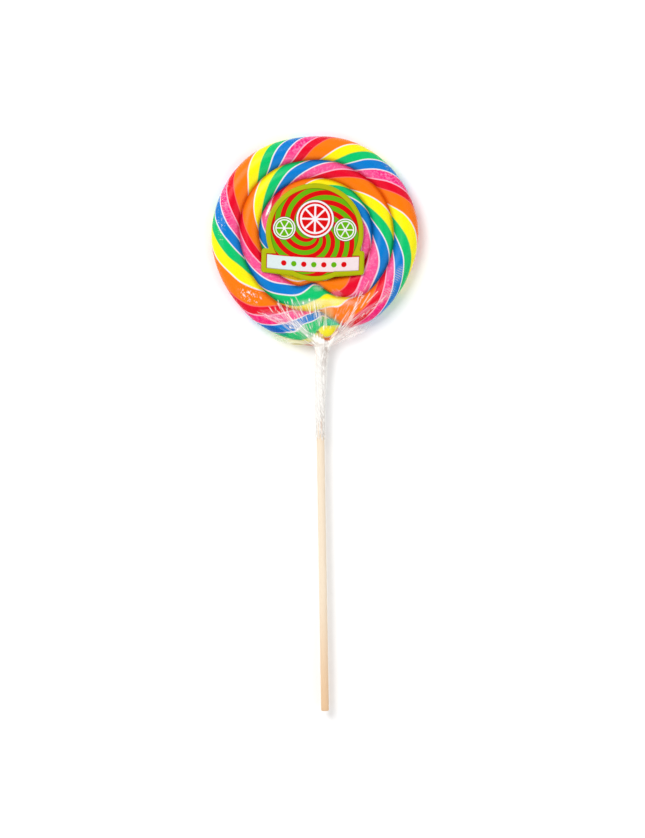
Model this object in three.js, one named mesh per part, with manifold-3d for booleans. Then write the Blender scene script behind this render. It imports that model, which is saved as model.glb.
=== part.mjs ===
// Swirl lollipop: a tapering rope of hard candy coiled flat on a wooden stick, with its clear
// film wrapper gathered round the stick and a die-cut paper label over the coil's middle.
//
// Millimetres. The origin is the middle of the coil, on the plane that the lollipop lies on.
// +Z points out of the labelled side and the stick runs along -Y.
//
// The coil is drawn by its turning angle t in degrees: t = 0 points along the stick (-Y), and
// t grows clockwise seen from +Z, from the rope's outer tip at TIP inwards. At t the rope lies
// between edge(t - 360), its outer side, and edge(t), its inner side.

import * as THREE from 'three';
import { mergeVertices } from 'three/addons/utils/BufferGeometryUtils.js';
import Module from 'manifold-3d';

const { degToRad, lerp, smoothstep } = THREE.MathUtils;

// ---------- driving dimensions ----------

// The circles that the coil's edge follows, from its rim inwards. Each leans off the coil's
// middle by a little, towards a turning angle. The rope steps in to each one as it passes the
// stick, between the angles of its step, sharply at first and gently near the middle.
const RINGS = [
  { radius: 51.2, lean: 2.3, toward: 350 },
  { radius: 38.4, lean: 1.5, toward: 315, step: [-22, -1] },
  { radius: 27.9, lean: 1.1, toward: 285, step: [-40, 6] },
  { radius: 18.6, lean: 0.4, toward: 270, step: [-60, 60] },
  { radius: 10.6, lean: 0.2, toward: 200, step: [-150, 150] },
  { radius: 4.2, lean: 0, toward: 0, step: [-170, 170] },
];
const TIP = -20;                  // where the rope starts, and its first step in
const FLANK = 7;                  // degrees over which the tip's outer side opens

// Where the hand-coiled edge swells or sinks: middle, half-width, height.
const DENTS = [
  { at: -352, reach: 24, height: 1.2 },
  { at: -332, reach: 22, height: 0.8 },
  { at: -265, reach: 40, height: 0.9 },
  { at: -225, reach: 34, height: 1.2 },
  { at: -182, reach: 28, height: -0.8 },
  { at: -92, reach: 30, height: 0.3 },
  { at: -50, reach: 50, height: -1.1 },
  { at: -20, reach: 22, height: -3.2 },
  { at: 22, reach: 30, height: 0.6 },
  { at: 65, reach: 30, height: -0.5 },
  { at: 120, reach: 50, height: 1.0 },
  { at: 178, reach: 28, height: -1.1 },
  { at: 212, reach: 36, height: -1.1 },
  { at: 287, reach: 26, height: 0.2 },
  { at: 336, reach: 22, height: -1.6 },
  { at: 360, reach: 24, height: -3.1 },
  { at: 378, reach: 20, height: 0.4 },
  { at: 460, reach: 55, height: 1.1 },
  { at: 560, reach: 60, height: -0.5 },
];

const THICKNESS = 11;             // of the outer turn
const DISH = 0.35;                // how much thinner each further turn is
const GROOVE = 0.5;               // half-height left at a groove, as a share of a crest's
const GROOVE_OPENS = 26;          // degrees over which a groove opens out of the rim
const TIP_SWELLS = 24;            // degrees over which the rope's tip reaches full height
const PRESSED = 0.5;              // share of the rope's half-width that lies flat underneath
const CORE = 0.5;                 // flat middle of the coil, as a share of its last circle
const COLUMNS = 60;               // facets along one turn
const CELLS = 6;                  // facets across the rope, at equal angles of its round section

const STICK_RADIUS = 1.95;
const STICK_OFFSET = 1.2;         // the stick runs a little beside the coil's middle
const STICK_HEIGHT = 5.3;
const STICK_HEAD = -20;           // how far in it reaches
const STICK_END = -239.2;
const STICK_ROUNDING = 0.5;
const STICK_SIDES = 20;

const GAP = 0.3;                  // between pieces that touch
const FILM_GAP = 0.1;             // the sleeve hugs the stick

// The gathered wrapper, section by section down the stick: its left and right side, its half
// height, and how deep its pleats are as a share of the section.
const FILM_SECTIONS = [
  { y: -44.5, left: -22, right: 19.5, half: 3.2, pleat: 0.02 },
  { y: -50, left: -19.5, right: 15.9, half: 3.6, pleat: 0.04 },
  { y: -54, left: -12.6, right: 8.4, half: 3.8, pleat: 0.08 },
  { y: -56.4, left: -2.6, right: 5.9, half: 3.7, pleat: 0.12 },
  { y: -60, left: -1.6, right: 5.3, half: 3.5, pleat: 0.12 },
  { y: -71, left: -1.5, right: 4.5, half: 2.95, pleat: 0.08 },
  { y: -84, left: -1.5, right: 3.95, half: 2.7, pleat: 0.06 },
  { y: -97, left: -1.2, right: 3.6, half: 2.4, pleat: 0.02 },
  { y: -104, left: -1.35, right: 3.75, half: 2.55, pleat: 0.04 },
];
const FILM_PLEATS = 9;
const FILM_SIDES = 36;
const FILM_STEPS = 3;             // rings between two sections

// The label is a disc with a band across it, whose lower edge sinks where it meets the disc.
const LABEL_RADIUS = 24.4;
const LABEL_BAND = { left: -26.2, right: 25.1, bottom: -20.7, top: -8.7, corner: 1.4, sink: 1.3 };
const LABEL_TURN = -2.5;          // degrees
const LABEL_HEIGHT = 10.9;        // of its back, above the plane
const LABEL_THICKNESS = 0.3;
const LABEL_ARC_SIDES = 24;       // facets of a half circle

// ---------- materials ----------

const finish = {
  candy: new THREE.MeshStandardMaterial({ color: 0xf2803a, roughness: 0.22, metalness: 0 }),
  stick: new THREE.MeshStandardMaterial({ color: 0xf7e2c4, roughness: 0.7, metalness: 0 }),
  film: new THREE.MeshStandardMaterial({
    color: 0xf6f8fa, roughness: 0.08, metalness: 0, transparent: true, opacity: 0.35,
  }),
  label: new THREE.MeshStandardMaterial({ color: 0xb9d63a, roughness: 0.4, metalness: 0 }),
};

// ---------- solids ----------

const wasm = await Module();
wasm.setup();

function geometryOf(points, triangles) {
  const geometry = new THREE.BufferGeometry();
  geometry.setAttribute('position', new THREE.Float32BufferAttribute(points.flat(), 3));
  geometry.setIndex(triangles.flat());
  return geometry;
}

function solidOf(geometry) {
  const bare = geometry.clone();
  bare.deleteAttribute('normal');
  bare.deleteAttribute('uv');
  const merged = mergeVertices(bare);
  return new wasm.Manifold(new wasm.Mesh({
    numProp: 3,
    vertProperties: new Float32Array(merged.attributes.position.array),
    triVerts: new Uint32Array(merged.index.array),
  }));
}

function geometryFromSolid(solid) {
  const mesh = solid.getMesh();
  const geometry = new THREE.BufferGeometry();
  geometry.setAttribute('position', new THREE.BufferAttribute(mesh.vertProperties, 3));
  geometry.setIndex(new THREE.BufferAttribute(mesh.triVerts, 1));
  geometry.computeVertexNormals();
  return geometry;
}

// ---------- the coil's plan ----------

function circle({ radius, lean, toward }, t) {
  return radius + lean * Math.cos(degToRad(t - toward));
}

function swell({ at, reach, height }, t) {
  const x = (t - at) / reach;
  return Math.abs(x) < 1 ? (height * (1 + Math.cos(Math.PI * x))) / 2 : 0;
}

// Distance of the coil's spiral edge from its middle: the rim as far as TIP, then the grooves.
function edge(t) {
  let radius = circle(RINGS[0], t);
  for (let turn = 1; turn < RINGS.length; turn++) {
    const [from, to] = RINGS[turn].step;
    const share = smoothstep(t - 360 * (turn - 1), from, to);
    radius += share * (circle(RINGS[turn], t) - circle(RINGS[turn - 1], t));
  }
  return DENTS.reduce((sum, dent) => sum + swell(dent, t), radius);
}

function outerSide(t) {
  return lerp(edge(TIP), edge(t - 360), smoothstep(t, TIP, TIP + FLANK));
}

// ---------- the rope's section ----------

function middle(t) {
  return (THICKNESS - (DISH * (t - TIP)) / 360) / 2;
}

function halfHeight(t) {
  return middle(t) * Math.sqrt(smoothstep(t, TIP, TIP + TIP_SWELLS));
}

// The share of its full height that a side of the rope keeps: none at the open rim.
function sideHeight(t) {
  return GROOVE * smoothstep(t, TIP, TIP + GROOVE_OPENS);
}

// A round section between its two sides: x runs from -1, outside, to 1, inside.
function crown(x, side) {
  return Math.sqrt(1 - (1 - side * side) * x * x);
}

function sectionPoint(t, x, face, grow) {
  const side = sideHeight(x < 0 ? t - 360 : t);
  const round = crown(x, side);
  const share = face > 0 ? round : Math.min(1, round / crown(PRESSED, side));
  const rise = (halfHeight(t) + grow) * share;
  const outer = outerSide(t) + (side > 0 ? 0 : grow);
  const radius = lerp(outer, edge(t), (x + 1) / 2);
  return [
    -Math.sin(degToRad(t)) * radius,
    -Math.cos(degToRad(t)) * radius,
    middle(t) + face * rise,
  ];
}

// The rope as one solid. Each turn shares its grooves with the turn outside it, so its outer
// side takes the points of the inner side one turn earlier.
function coil(grow) {
  const turns = RINGS.length - 1;
  const columns = turns * COLUMNS;
  const points = [];
  const triangles = [];
  const add = (point) => points.push(point) - 1;
  const quad = (a, b, c, d) => triangles.push([a, b, c], [a, c, d]);

  // One row of points across the rope for each column, on its upper and its lower face.
  const upper = [];
  const lower = [];
  for (let column = 0; column <= columns; column++) {
    const t = TIP + (column * 360) / COLUMNS;
    const open = column < COLUMNS;
    const above = [];
    const below = [];
    for (let cell = 0; cell <= CELLS; cell++) {
      const x = -Math.cos((Math.PI * cell) / CELLS);
      if (column === 0) {
        above.push(cell ? above[0] : add(sectionPoint(t, -1, 1, grow)));
        below.push(above[0]);
      } else if (cell === 0 && !open) {
        above.push(upper[column - COLUMNS][CELLS]);
        below.push(lower[column - COLUMNS][CELLS]);
      } else {
        above.push(add(sectionPoint(t, x, 1, grow)));
        below.push(cell === 0 ? above[0] : add(sectionPoint(t, x, -1, grow)));
      }
    }
    upper.push(above);
    lower.push(below);
  }
  for (let column = 0; column < columns; column++) {
    for (let cell = 0; cell < CELLS; cell++) {
      const [a, b] = [upper[column], upper[column + 1]];
      const [c, d] = [lower[column], lower[column + 1]];
      quad(a[cell], a[cell + 1], b[cell + 1], b[cell]);
      quad(d[cell], d[cell + 1], c[cell + 1], c[cell]);
    }
  }

  // The coil's middle, which closes the last turn.
  for (const [rows, face] of [[upper, 1], [lower, -1]]) {
    const loop = rows.slice(columns - COLUMNS, columns).map((row) => row[CELLS]);
    loop.push(...rows[columns].slice(1).reverse());
    const z = middle(TIP + 360 * turns) * (1 + face);
    const flat = loop.map((i) => add([points[i][0] * CORE, points[i][1] * CORE, z]));
    const centre = add([0, 0, z]);
    loop.forEach((point, i) => {
      const next = (i + 1) % loop.length;
      const corners = [[point, flat[i], flat[next]], [point, flat[next], loop[next]],
        [flat[i], centre, flat[next]]];
      triangles.push(...corners.map(([p, q, r]) => (face > 0 ? [p, q, r] : [p, r, q])));
    });
  }
  return solidOf(geometryOf(points, triangles.filter(([p, q, r]) => p !== q && q !== r && r !== p)));
}

// ---------- stick ----------

// A round bar along -Y, from head to end, with the end's edge rounded.
function bar(radius, head, end, rounding) {
  const length = head - end;
  const profile = [
    new THREE.Vector2(0, 0),
    new THREE.Vector2(radius, 0),
    new THREE.Vector2(radius, length - rounding),
    new THREE.Vector2(radius - rounding * 0.3, length - rounding * 0.3),
    new THREE.Vector2(radius - rounding, length),
    new THREE.Vector2(0, length),
  ];
  const geometry = new THREE.LatheGeometry(profile, STICK_SIDES);
  geometry.rotateZ(Math.PI);
  geometry.translate(STICK_OFFSET, head, STICK_HEIGHT);
  return solidOf(geometry);
}

// ---------- film ----------

function filmSection(share) {
  const last = FILM_SECTIONS.length - 1;
  const index = Math.min(Math.floor(share * last), last - 1);
  const [a, b] = [FILM_SECTIONS[index], FILM_SECTIONS[index + 1]];
  const mix = share * last - index;
  return {
    y: lerp(a.y, b.y, mix),
    x: (lerp(a.left, b.left, mix) + lerp(a.right, b.right, mix)) / 2,
    wide: (lerp(a.right, b.right, mix) - lerp(a.left, b.left, mix)) / 2,
    high: lerp(a.half, b.half, mix),
    pleat: lerp(a.pleat, b.pleat, mix),
  };
}

function gather() {
  const rings = (FILM_SECTIONS.length - 1) * FILM_STEPS;
  const points = [];
  const triangles = [];
  for (let row = 0; row <= rings; row++) {
    const { x, y, wide, high, pleat } = filmSection(row / rings);
    for (let side = 0; side < FILM_SIDES; side++) {
      const angle = (2 * Math.PI * side) / FILM_SIDES;
      const fold = 1 + pleat * Math.cos(FILM_PLEATS * angle);
      points.push([
        x + wide * fold * Math.cos(angle), y, STICK_HEIGHT + high * fold * Math.sin(angle),
      ]);
    }
  }
  const heads = [0, rings].map((row) => {
    const { x, y } = filmSection(row / rings);
    return points.push([x, y, STICK_HEIGHT]) - 1;
  });
  for (let side = 0; side < FILM_SIDES; side++) {
    const next = (side + 1) % FILM_SIDES;
    for (let row = 0; row < rings; row++) {
      const [a, b] = [row * FILM_SIDES, (row + 1) * FILM_SIDES];
      triangles.push([a + side, a + next, b + next], [a + side, b + next, b + side]);
    }
    triangles.push([heads[0], next, side]);
    triangles.push([heads[1], rings * FILM_SIDES + side, rings * FILM_SIDES + next]);
  }
  return solidOf(geometryOf(points, triangles));
}

// The largest piece of a solid, without the slivers that a cut can leave.
function largest(solid) {
  return solid.decompose().sort((a, b) => b.volume() - a.volume())[0];
}

// ---------- label ----------

// A disc with a band across it that stands out on both sides.
function labelOutline() {
  const { left, right, bottom, top, corner, sink } = LABEL_BAND;
  const high = Math.asin(top / LABEL_RADIUS);
  const low = Math.asin((bottom - sink) / LABEL_RADIUS);
  const shape = new THREE.Shape();
  shape.absarc(0, 0, LABEL_RADIUS, high, Math.PI - high, false);
  shape.absarc(left + corner, top - corner, corner, Math.PI / 2, Math.PI, false);
  shape.absarc(left + corner, bottom + corner, corner, Math.PI, 1.5 * Math.PI, false);
  shape.absarc(0, 0, LABEL_RADIUS, Math.PI - low, 2 * Math.PI + low, false);
  shape.absarc(right - corner, bottom + corner, corner, -Math.PI / 2, 0, false);
  shape.absarc(right - corner, top - corner, corner, 0, Math.PI / 2, false);
  return shape;
}

// ---------- the lollipop ----------

const bore = bar(STICK_RADIUS + GAP, STICK_HEAD + GAP, STICK_END, STICK_ROUNDING);
const sleeveBore = bar(STICK_RADIUS + FILM_GAP, STICK_HEAD, STICK_END, STICK_ROUNDING);

function part(name, geometry) {
  const mesh = new THREE.Mesh(geometry, finish[name]);
  mesh.name = name;
  return mesh;
}

const candy = part('candy', geometryFromSolid(coil(0).subtract(bore)));

const stick = part('stick', geometryFromSolid(
  bar(STICK_RADIUS, STICK_HEAD, STICK_END, STICK_ROUNDING),
));

// The film keeps clear of the candy on every side, and along the stick by twice the gap.
const berth = coil(GAP).add(coil(GAP).translate([0, -GAP, 0]));
const film = part('film', geometryFromSolid(
  largest(gather().subtract(berth).subtract(sleeveBore)),
));

const label = part('label', new THREE.ExtrudeGeometry(labelOutline(), {
  depth: LABEL_THICKNESS, bevelEnabled: false, curveSegments: LABEL_ARC_SIDES,
}));
label.position.z = LABEL_HEIGHT;
label.rotation.z = degToRad(LABEL_TURN);

const lollipop = new THREE.Group();
lollipop.name = 'swirl_lollipop';
lollipop.add(candy, stick, film, label);

export default lollipop;
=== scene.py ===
"""A swirl lollipop lying on a pale floor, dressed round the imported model.

Lengths are in millimetres until a mesh is made, and angles of the coil in degrees. A turning
angle t is 0 along the stick (-Y) and grows clockwise seen from +Z, from the rope's outer tip
at TIP inwards.
"""

import math

import bpy
import numpy as np
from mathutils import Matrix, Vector
from mathutils.geometry import delaunay_2d_cdt


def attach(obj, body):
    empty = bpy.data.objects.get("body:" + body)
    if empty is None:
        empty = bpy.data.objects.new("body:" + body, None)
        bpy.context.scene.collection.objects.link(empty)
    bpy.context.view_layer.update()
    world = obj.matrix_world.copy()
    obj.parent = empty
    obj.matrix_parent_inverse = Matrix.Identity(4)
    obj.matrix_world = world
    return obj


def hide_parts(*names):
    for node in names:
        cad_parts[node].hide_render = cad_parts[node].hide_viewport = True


MM = 0.001

# The view: straight down, with the stick leaning a little to the right.
VIEW_CENTRE = (2.36, -93.25)
VIEW_HEIGHT = 419.0
VIEW_LEAN = 0.944
CAMERA_DISTANCE = 2600.0
SENSOR = 36.0

# The coil: circles that its edge follows from the rim inwards, as (radius, lean, lean's angle,
# where the rope steps in to it), and dents as (angle, reach, height).
RINGS = [
    (51.2, 2.3, 350, None),
    (38.4, 1.5, 315, (-21, -1.5)),
    (27.9, 1.1, 285, (-40, 6)),
    (18.6, 0.4, 270, (-75, 40)),
    (10.6, 0.2, 200, (-150, 150)),
    (4.2, 0.0, 0, (-170, 170)),
]
DENTS = [
    (-352, 24, 1.2), (-332, 22, 0.8), (-265, 40, 0.9), (-225, 34, 1.2), (-182, 28, -0.8),
    (-92, 30, 0.3), (-50, 50, -1.1), (-18, 20, -2.0), (22, 30, 0.6), (65, 30, -0.5),
    (120, 50, 1.0), (178, 28, -1.1), (212, 36, -1.1), (287, 26, 0.2), (336, 22, -1.0),
    (360, 22, -3.3), (378, 20, 0.4), (460, 55, 1.1), (560, 60, -0.5),
]
TIP = -15                # turning angle at which the rope starts
FLANK = 8                # degrees over which the tip's outer side opens
THICKNESS = 11.0         # of the outer turn
DISH = 0.35              # how much thinner each further turn is
GROOVE = 0.5             # half-height left at a groove, as a share of a crest's
GROOVE_OPENS = 26        # degrees over which a groove opens out of the rim
TIP_SWELLS = 24          # degrees over which the tip reaches full height
PRESSED = 0.5            # share of the rope's half-width that lies flat underneath
CORE = 0.5               # share of the coil's last circle where its slope ends
CORE_RINGS = 6
TURNS = len(RINGS) - 1
COLUMNS = 240            # along one turn
CELLS = 28               # across the rope

# The rope's twist: turning angles of its crest, with the number of stripe cycles up to there.
TWIST = [
    (-28, 0.12), (-8, 0.145), (-4, 0.165), (0, 0.205), (3, 0.235), (7, 0.265), (10, 0.325),
    (13.5, 0.395), (17, 0.455), (20, 0.503), (30, 0.65), (38, 0.77), (44, 0.855), (50, 0.92),
    (58, 1), (66, 1.067), (75, 1.165), (87, 1.305), (98, 1.467), (132, 2), (151, 2.287),
    (194, 2.98), (224, 3.457), (244, 3.74), (259, 4), (273, 4.163), (286, 4.305), (301, 4.467),
    (309, 4.565), (317, 4.65), (321, 4.69), (329, 4.77), (335, 4.83), (343, 4.94), (348, 5.0),
    (356.5, 5.163), (365, 5.22), (373, 5.265), (382.5, 5.309), (404, 5.472), (449, 5.77),
    (473, 5.996), (493, 6.152), (534, 6.453), (555, 6.61), (598, 6.988), (618, 7.156),
    (634, 7.305), (653, 7.475), (680, 7.64), (692, 7.762), (700, 7.835), (710, 7.93),
    (720, 7.985), (740, 8.07), (821, 8.58), (863, 8.86), (900, 9.11), (960, 9.42),
    (994, 9.58), (1280, 11), (1560, 12), (1900, 13),
]

# How much further the twist goes from the rope's outer side to its crest, and from there to its
# inner side, than on a round rope: turning angle, both in cycles.
SKEW = [
    (-28, 0, 0), (-5, 0, 0.02), (0, -0.07, 0.06), (7, -0.09, 0.12), (10, -0.07, 0.12),
    (13.5, 0, 0.09), (17, 0.05, 0.04), (20, 0.045, 0.03), (40, 0.02, 0.02), (60, 0.035, 0.035),
    (90, 0.035, 0.035), (120, 0.02, 0.02), (145, 0, 0), (270, 0, 0), (300, 0.05, 0.05),
    (345, 0.06, 0.06), (356, 0.02, -0.02), (362, 0.01, -0.04), (373, 0, -0.02),
    (385, 0.01, 0.01), (410, 0.02, 0.02), (440, 0.02, 0.02), (472, 0.04, 0.04),
    (495, 0.015, 0.015), (515, 0, 0), (1900, 0, 0),
]

# The stripes of one cycle: name, colour (sRGB), width, and the line that parts it from the next.
STRIPES = [
    ("yellow", (244, 234, 6), 0.163, None),
    ("green", (0, 190, 106), 0.146, "white"),
    ("blue", (0, 120, 200), 0.16, "white"),
    ("pink", (238, 82, 144), 0.153, "rose"),
    ("red", (222, 0, 40), 0.138, "blush"),
    ("orange", (244, 118, 0), 0.24, "white"),
]
# The lines: colour and width.
LINES = {
    "white": ((234, 224, 230), 0.011),
    "rose": ((244, 170, 194), 0.013),
    "blush": ((240, 104, 96), 0.006),
}
LINE_BLUR = 0.008

# The candy's tints: the pink stripe's dark and pale blotches, its deeper colour low on the rim,
# what pulled sugar is multiplied by, and the painted shade that the grooves are multiplied by.
MAGENTA = (240, 0, 118)
PALE_PINK = (246, 150, 190)
DEEP_PINK = (238, 4, 112)
PULLED_TINT = (225, 150, 140)
PAINTED_GROOVE_SHADE = (185, 80, 70)

STICK_RADIUS = 1.95
STICK_X = 1.2            # it runs a little beside the coil's middle
STICK_Z = 5.3
STICK_HEAD = -21.0       # how far in it reaches
STICK_END = -239.2
STICK_SIDES = 48
STICK_RINGS = 90
# Its sanded end: distance from the end, and how much narrower it is there.
STICK_BEVEL = [(0.5, 0.0), (0.18, 0.14), (0.0, 0.5)]
WOOD_PALE = (237, 220, 196)
WOOD_DARK = (226, 188, 146)   # towards the free end
WOOD_STREAK = (212, 170, 128)
WOOD_PORE = (186, 140, 100)

# The film: a skin that starts on a ring round the stick, its neck, and runs taut to the coil.
FILM_GAP = 0.16          # between the skin and the candy
FILM_SAG = 0.35          # share of a groove's depth that it sinks in
NECK = (2.9, -57.2)
NECK_WIDE = 3.6          # half of the neck's width, and of its height
NECK_HIGH = 3.4
FILM_SIDES = (33, 322)   # turning angles where its sides touch the coil
FILM_BULGE = (5.0, 3.3)  # how far each side stands out between neck and coil
PLEATS = 9               # round the neck
PLEAT_DEPTH = 0.5
PLEAT_FADE = 9.0         # distance from the neck over which they fade
CREASE_DEPTH = 0.3
RIPPLE_DEPTH = 0.06
GATHER_WHITE = 0.8       # whiteness at the neck, and the distance over which it fades
GATHER_FADE = 4.0
BACK_WHITE = 0.5         # how white the back's folds are, as a share of the front's
FILM_COLUMNS = 361
FILM_ROWS = 150
FAN_BEARING = 65         # bearing of the skin's sides, seen from the neck, in degrees
CLEAR_TINT = (255, 250, 244)
GATHERED_TINT = (243, 240, 235)
# the colour of the painted shade on the sleeve's gathers and ticks
SHADED_TINT = (196, 184, 176)

# The sleeve round the stick: distance down, middle, half-width, half-height.
SLEEVE = [
    (-57.2, 2.9, 3.6, 3.4), (-61.5, 2.4, 3.3, 3.2), (-71.0, 1.7, 2.9, 2.9),
    (-84.0, 1.3, 2.6, 2.6), (-97.0, 1.2, 2.3, 2.3), (-102.5, 1.2, 2.3, 2.3),
]
SLEEVE_ROWS = 110
SLEEVE_SIDES = 120
SLEEVE_TWIST = 1.6       # radians that its pleats turn from the neck to its end
SLEEVE_SLANT = 2         # how far its wrinkles slant, in mesh columns for each row
PAINTED_SHADE_SIDE = 9.0          # bearing of its side with painted shade, a little right of the top

# Fine creases by share of the fan, left -1 to right 1: from, to, count, and ranges of the
# distance from the neck at which they start and of their length.
CREASES = [
    (-0.95, -0.25, 46, (7, 22), (3, 10)),
    (-0.50, 0.25, 30, (9, 20), (2, 6)),
    (0.25, 0.55, 18, (8, 20), (3, 8)),
    (0.55, 0.95, 22, (6, 26), (4, 12)),
    (-0.90, -0.10, 8, (0, 4), (6, 14)),
    (0.50, 0.90, 12, (0, 4), (6, 14)),
]

# Folds that stand out white: points along them, half-width, whiteness.
FOLDS = [
    ([(-9.6, -44.3), (-7.6, -46.6), (-5.3, -49.1), (-2.1, -50.9)], 0.3, 0.95),
    ([(-2.1, -50.9), (0.7, -52.1), (2.7, -53.4), (4.5, -54.8)], 0.35, 0.95),
    ([(-19.1, -35.3), (-15.3, -40), (-13.4, -42.1), (-12.1, -44.8), (-9.9, -48.1)], 0.22, 0.6),
    ([(-14.7, -37.9), (-12.7, -43.1), (-10.6, -46.2), (-6, -50.4)], 0.25, 0.7),
    ([(-8.6, -40.4), (-7.4, -42.6)], 0.2, 0.8),
    ([(-11.8, -33.5), (-11.6, -38.3)], 0.25, 0.6),
    ([(-1, -33.7), (-0.4, -38.5), (0.4, -42.5)], 0.25, 0.9),
    ([(1.3, -39.8), (1.4, -47)], 0.2, 0.7),
    ([(4.8, -38), (5, -46.8)], 0.5, 0.6),
    ([(24, -46), (20, -47.6), (14, -50.5), (7, -54.8)], 0.9, 0.6),
    ([(26, -38), (19, -43.5), (13.5, -47), (11.3, -49.5), (8.4, -53.2), (5, -55)], 0.25, 0.7),
    ([(31, -30), (25.5, -35.5)], 0.2, 0.6),
    ([(27, -31), (22.5, -38)], 0.2, 0.6),
]

# Where short scratches cross each other: middle, half-length, half-width and turn of the spot,
# how many, and the least and greatest direction of the scratches.
SCRATCHES = [
    ((-19.5, -43), 8, 2.0, -18, 44, (140, 190)),
    ((-17, -41), 7, 3.0, -30, 16, (105, 130)),
    ((-10.5, -46), 5, 1.8, -40, 30, (100, 190)),
    ((-16, -36.5), 3.5, 1.8, 0, 7, (95, 115)),
    ((27.5, -38.3), 11, 1.6, 39, 12, (20, 70)),
    ((23, -34), 9, 5, 50, 10, (45, 75)),
    ((19, -50), 9, 2.2, 26, 30, (0, 60)),
    ((4, -40), 16, 5, 0, 24, (75, 115)),
]

# Hazy patches of the film: middle, half-length, half-width, turn in degrees, whiteness.
HAZE = [
    ((-2, -38.5), 16, 5, 0, 0.25),
    ((2, -44), 22, 9, 0, 0.05),
    ((-18, -42.8), 11, 3.0, -22, 0.42),
    ((-8.8, -47.6), 6.5, 1.9, -40, 0.6),
    ((28.5, -37.6), 13, 1.6, 39, 0.2),
    ((15, -50), 8, 2.6, 30, 0.6),
    ((20, -33), 7, 4, 50, 0.06),
    ((-9, -54.8), 10, 1.6, -10, 0.6),
    ((3, -56), 4, 2, 0, 0.6),
    ((18, -50), 12, 2.4, 25, 0.7),
]

# Where the film lies clear, without creases: as HAZE, with the share that is taken away.
CLEAR = [
    ((6.8, -50.2), 6, 2.8, 12, 0.9),
    ((-1.5, -48.6), 3.6, 1.8, 30, 0.75),
    ((27, -44), 11, 2.6, 39, 0.8),
    ((-13.2, -51.8), 7.5, 1.5, -12, 0.8),
    ((-20.5, -48.0), 9, 2.0, -22, 0.8),
    ((-27, -43), 6, 1.9, -34, 0.7),
    ((27.5, -42), 10, 1.8, 39, 0.8),
    ((12.5, -38.5), 5.0, 4.5, 0, 0.6),
    ((-2, -44.5), 4.5, 3, 20, 0.6),
]

# Bright glints, knots and soft veils of the film, as HAZE.
GLINTS = [
    ((-22.9, 11.3), 3.9, 0.65, 66, 1),
    ((-11.8, -34.3), 0.7, 0.4, 80, 1),
    ((-6.3, -35.2), 0.7, 0.4, 60, 1),
    ((-3.2, -33.9), 0.6, 0.5, 100, 1),
    ((-16.3, -45.1), 1.1, 0.5, 45, 0.9),
    ((-12.9, -47.3), 1.0, 0.5, -40, 0.9),
    ((-18.0, -48.0), 0.5, 0.4, 0, 0.8),
    ((-19.6, -47.5), 0.5, 0.4, 0, 0.8),
    ((-9.3, -48.3), 0.8, 0.6, 0, 0.9),
    ((-4.8, -51.4), 0.8, 0.5, 0, 0.9),
    ((3.7, -47.7), 0.8, 0.6, 90, 0.9),
    ((0.8, -53.8), 4.5, 1.5, -22, 0.75),
    ((-6.2, -49.6), 5.5, 1.3, -40, 0.45),
    ((-11.2, -45.2), 3.6, 1.2, -48, 0.28),
    ((4.5, -35.4), 17, 2.2, 0, 0.34),
    ((16.8, -44.0), 4.5, 1.0, 52, 0.5),
    ((-33.3, -29.5), 0.9, 0.6, -40, 0.9),
    ((-35.8, -30.8), 1.4, 0.5, -50, 0.7),
    ((-30.9, -30.5), 0.8, 0.5, -60, 0.6),
    ((-27.4, -32.4), 0.7, 0.5, -60, 0.6),
    ((-33.0, -33.0), 0.6, 0.4, 0, 0.6),
    ((1.3, -27.8), 3, 1.6, 0, 0.2),
]

# Painted reflections, where a fold of the film carries the colour of the candy behind it, and
# painted shade along its edges and beside the label: middle, half-length, half-width, turn,
# strength, colour.
REFLECTION_AND_SHADE_TINTS = [
    ((25.3, -39.0), 7.5, 1.2, 33, 0.5, (246, 140, 160)),
    ((22.4, -43.9), 4.5, 0.9, 27, 0.6, (226, 10, 36)),
    ((14.5, -49.2), 4.0, 1.3, 50, 0.6, (236, 224, 216)),
    ((-20.0, -48.5), 7.0, 1.5, -24, 0.4, (0, 84, 190)),
    ((10.6, -30.7), 3.2, 1.6, -12, 0.6, (232, 110, 130)),
    ((-10.5, -22.8), 6.0, 1.3, -14, 0.5, (190, 136, 10)),
    ((-3.5, -53.6), 2.2, 0.9, -20, 0.6, (232, 232, 190)),
    ((9.1, -51.0), 3.6, 0.8, 43, 0.85, (246, 228, 206)),
    ((8.2, -45.0), 4.5, 2.4, -25, 0.42, (130, 226, 190)),
    ((5.5, -39.5), 6.0, 4.0, 90, 0.34, (252, 220, 160)),
    ((-19.5, -42.5), 8.5, 2.2, -18, 0.36, (248, 160, 200)),
    ((0.8, -49.9), 1.3, 0.8, -40, 0.75, (110, 90, 20)),
    ((2.2, -51.5), 1.8, 1.0, -40, 0.85, (236, 196, 176)),
    ((5.2, -53.2), 2.2, 1.1, -15, 0.85, (214, 108, 46)),
    ((-4.2, -56.3), 3.4, 0.6, -2, 0.8, (196, 120, 92)),
    ((-9.6, -55.7), 4.0, 0.6, -5, 0.7, (168, 154, 96)),
    ((-9.0, -54.5), 6.5, 1.1, -6, 0.75, (236, 232, 190)),
    ((-18.0, -53.0), 5.0, 1.4, -20, 0.4, (196, 214, 176)),
]
# The sleeve's painted shade near the neck, and the stick's colour painted where it shows through.
SLEEVE_PAINTED_TINTS = [
    ((-1.0, -58.8), 2.2, 0.4, -80, 0.6, (206, 160, 140)),
    ((-0.2, -63.3), 4.5, 0.35, 90, 0.35, (226, 196, 176)),
    ((0.2, -99.0), 5.0, 0.4, 90, 0.5, (240, 214, 184)),
    ((1.8, -97.0), 5.0, 0.5, 90, 0.4, (236, 204, 184)),
]

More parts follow.
